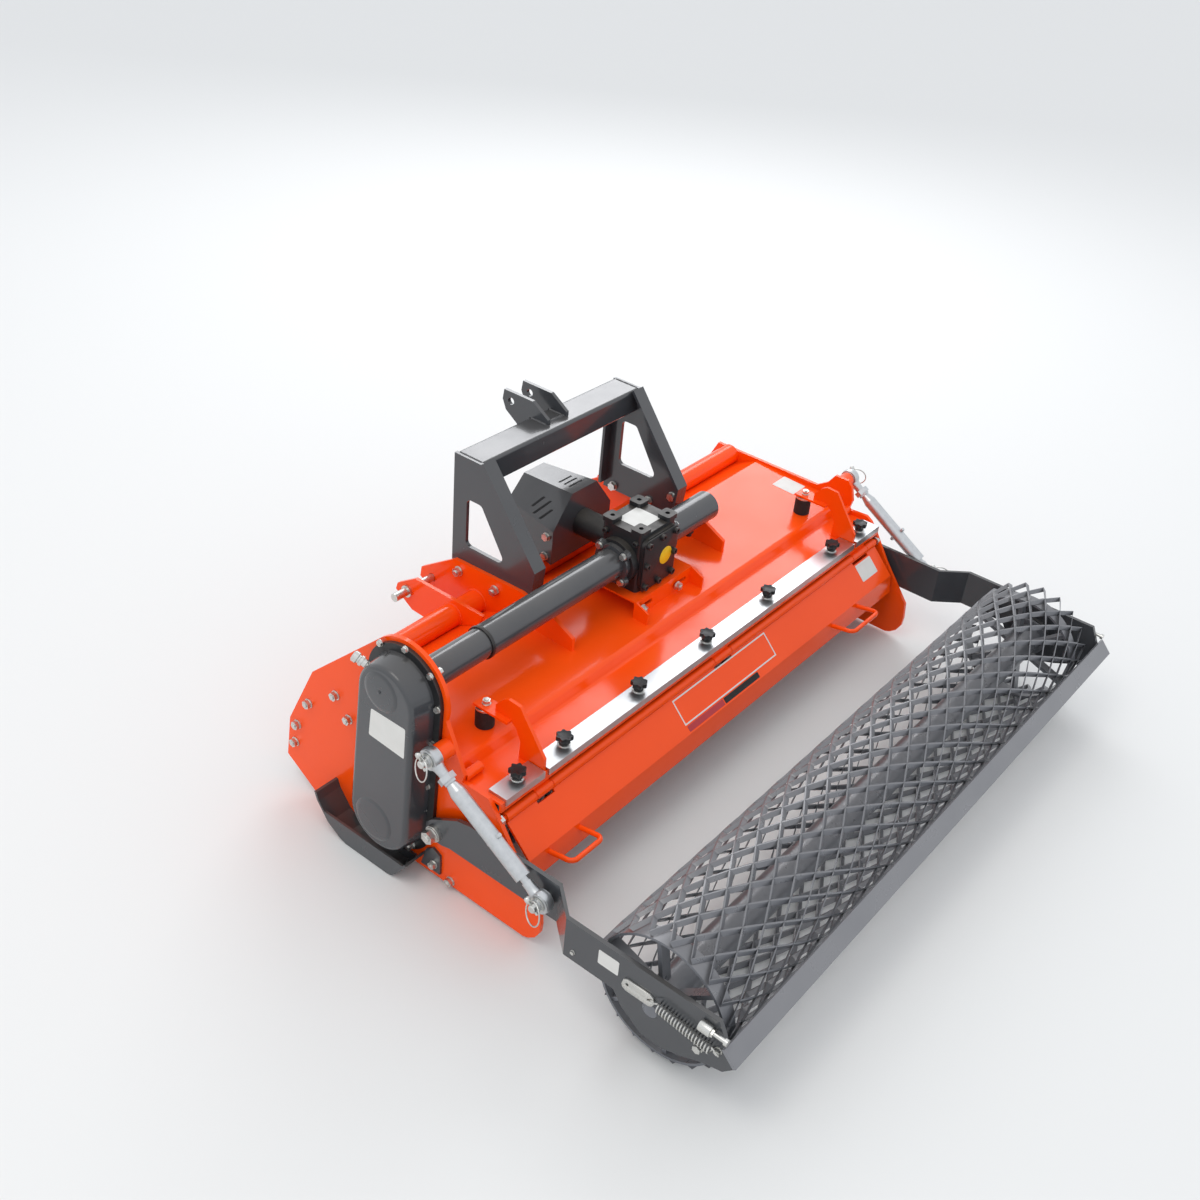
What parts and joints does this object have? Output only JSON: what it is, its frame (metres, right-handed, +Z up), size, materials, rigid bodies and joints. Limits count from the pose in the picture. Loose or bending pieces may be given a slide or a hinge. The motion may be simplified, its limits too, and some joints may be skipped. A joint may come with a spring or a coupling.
{
  "type": "stone burier",
  "caption": "Tractor-mounted stone burier: hooded rotor with a selector grid, a hinged rear door, side skids, a three point hitch and a mesh packing roller on two adjustable arms.",
  "frame": {"origin": "on the ground, in the middle of the machine's width, half way between the hitch noses and the rear edge of the scraper", "axes": "+X to the machine's right, +Y forwards to the tractor, +Z up"},
  "size_m": [1.807, 1.39, 0.765],
  "materials": {
    "orange": "gloss",
    "dark_grey": "satin",
    "black": "satin",
    "stainless": "brushed",
    "galvanised": "dull zinc",
    "steel": "machined",
    "mesh_steel": "bare rolled",
    "knob_plastic": "matt",
    "rubber": "matt",
    "cast": "satin paint"
  },
  "bodies": {
    "frame": {"side_plate_left": "orange", "side_plate_right": "orange", "hood_shell": "orange", "front_tube": "orange", "torque_tube_left": "dark_grey", "torque_tube_right": "dark_grey", "hitch_inner_plates": "orange", "hitch_outer_plates": "orange", "hitch_pins": "galvanised", "mast_plates": "dark_grey", "mast_flanges": "dark_grey", "mast_tube": "dark_grey", "clevis_plates": "dark_grey", "gearbox": "cast", "gearbox_bracket": "orange", "pto_guard": "black", "gear_case_flange": "black", "gear_case_cover": "dark_grey", "rotor_bearing": "dark_grey", "selector_grid": "dark_grey", "skid_left": "dark_grey", "skid_right": "dark_grey", "clamp_strips": "stainless", "strip_knobs": "knob_plastic", "buffer_arms": "orange", "rubber_buffers": "rubber", "door_hinge": "orange", "arm_pivot_pins": "galvanised", "adjuster_pins": "galvanised"},
    "rotor": {"rotor_tube": "dark_grey", "rotor_blades": "steel"},
    "input_shaft": {"input_shaft": "steel"},
    "door": {"rear_door": "orange", "door_handles": "orange"},
    "roller_frame": {"roller_arm_left": "dark_grey", "roller_arm_right": "dark_grey", "scraper": "dark_grey", "scraper_springs": "galvanised"},
    "roller": {"roller_shaft": "mesh_steel", "roller_bands": "mesh_steel", "roller_mesh": "mesh_steel"},
    "barrel_left": {"adjuster_barrel_left": "galvanised"},
    "barrel_right": {"adjuster_barrel_right": "galvanised"},
    "rod_left": {"adjuster_rod_left": "galvanised"},
    "rod_right": {"adjuster_rod_right": "galvanised"}
  },
  "joints": [
    {"name": "rotor_turn", "type": "hinge", "parent": "frame", "child": "rotor", "pos_m": [0, 0.266, 0.172], "axis": [1, 0, 0], "continuous": true},
    {"name": "input_turn", "type": "hinge", "parent": "frame", "child": "input_shaft", "pos_m": [0, 0.52, 0.474], "axis": [0, 1, 0], "continuous": true},
    {"name": "door_swing", "type": "hinge", "parent": "frame", "child": "door", "pos_m": [0, -0.01, 0.276], "axis": [-1, 0, 0], "range_deg": [0, 100]},
    {"name": "roller_height", "type": "hinge", "parent": "frame", "child": "roller_frame", "pos_m": [0, 0.14, 0.169], "axis": [-1, 0, 0], "range_deg": [-6, 10]},
    {"name": "roller_turn", "type": "hinge", "parent": "roller_frame", "child": "roller", "pos_m": [0, -0.486, 0.16], "axis": [1, 0, 0], "continuous": true},
    {"name": "barrel_tilt_left", "type": "hinge", "parent": "frame", "child": "barrel_left", "pos_m": [-0.848, 0.133, 0.398], "axis": [-1, 0, 0], "range_deg": [-5, 8]},
    {"name": "rod_slide_left", "type": "slide", "parent": "barrel_left", "child": "rod_left", "axis": [0, -0.8548, -0.5189], "range_m": [-0.04, 0.03]},
    {"name": "barrel_tilt_right", "type": "hinge", "parent": "frame", "child": "barrel_right", "pos_m": [0.848, 0.133, 0.398], "axis": [-1, 0, 0], "range_deg": [-5, 8]},
    {"name": "rod_slide_right", "type": "slide", "parent": "barrel_right", "child": "rod_right", "axis": [0, -0.8548, -0.5189], "range_m": [-0.04, 0.03]}
  ],
  "couplings": [
    {"joint": "input_turn", "follows": "rotor_turn", "ratio": 2.35},
    {"joint": "barrel_tilt_left", "follows": "roller_height", "ratio": 0.692},
    {"joint": "rod_slide_left", "follows": "roller_height", "m_per_rad": -0.1994},
    {"joint": "barrel_tilt_right", "follows": "roller_height", "ratio": 0.692},
    {"joint": "rod_slide_right", "follows": "roller_height", "m_per_rad": -0.1994}
  ]
}
